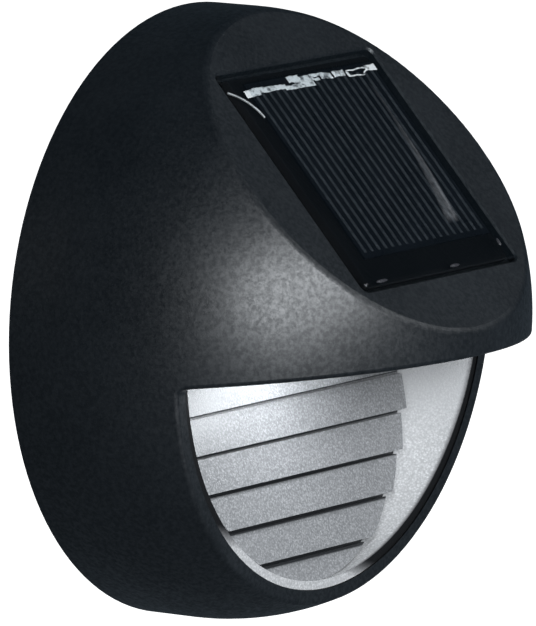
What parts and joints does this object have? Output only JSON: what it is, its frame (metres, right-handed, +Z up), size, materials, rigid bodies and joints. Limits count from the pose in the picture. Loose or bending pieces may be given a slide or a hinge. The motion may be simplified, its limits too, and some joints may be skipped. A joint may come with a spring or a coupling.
{
  "type": "solar fence light",
  "caption": "Round dome solar fence light with a sloped panel under a clear cover, an overhanging lid and a flared silver pocket with a stepped louvre, on a twist-off wall plate.",
  "frame": {"origin": "centre of the wall plate's back face, on the fence", "axes": "+Z up, -Y out of the fence towards the person who looks at the lamp, +X to that person's right"},
  "size_m": [0.12, 0.069, 0.12],
  "materials": {
    "housing": "fine-textured charcoal moulding",
    "reflector": "silver sprayed moulding",
    "louvre": "silver sprayed moulding",
    "back_cover": "plain black moulding",
    "cover_gasket": "soft closed-cell seal",
    "cover_screws": "zinc plated",
    "reflector_screws": "zinc plated",
    "battery_door": "plain black moulding",
    "battery_door_screw": "zinc plated",
    "battery": "plain sleeve, no print",
    "battery_contact_plus": "nickel plated",
    "battery_contact_minus": "nickel plated",
    "control_board": "solder resist",
    "board_parts": "moulded electronic parts",
    "board_screws": "zinc plated",
    "slide_switch": "tinned shell",
    "switch_knob": "moulded",
    "led_board": "white solder resist",
    "leds": "diffused epoxy",
    "panel_backing": "board",
    "solar_cell": "anti-reflection coated silicon",
    "cell_ribbon": "tinned",
    "panel_cover": "clear cast resin",
    "panel_leads": "wire insulation",
    "led_leads": "wire insulation",
    "wall_plate": "plain black moulding"
  },
  "bodies": {
    "plate": {"wall_plate": "wall_plate"},
    "lamp": {"housing": "housing", "reflector": "reflector", "louvre": "louvre", "back_cover": "back_cover", "cover_gasket": "cover_gasket", "cover_screws": "cover_screws", "reflector_screws": "reflector_screws", "battery_door": "battery_door", "battery_door_screw": "battery_door_screw", "battery": "battery", "battery_contact_plus": "battery_contact_plus", "battery_contact_minus": "battery_contact_minus", "control_board": "control_board", "board_parts": "board_parts", "board_screws": "board_screws", "slide_switch": "slide_switch", "led_board": "led_board", "leds": "leds", "panel_backing": "panel_backing", "solar_cell": "solar_cell", "cell_ribbon": "cell_ribbon", "panel_cover": "panel_cover", "panel_leads": "panel_leads", "led_leads": "led_leads"},
    "knob": {"switch_knob": "switch_knob"}
  },
  "joints": [
    {"name": "lamp_twist", "type": "hinge", "parent": "plate", "child": "lamp", "pos_m": [0, 0, 0], "axis": [0, -1, 0], "range_deg": [0, 18]},
    {"name": "switch_slide", "type": "slide", "parent": "lamp", "child": "knob", "axis": [1, 0, 0], "range_m": [0, 0.002]}
  ]
}
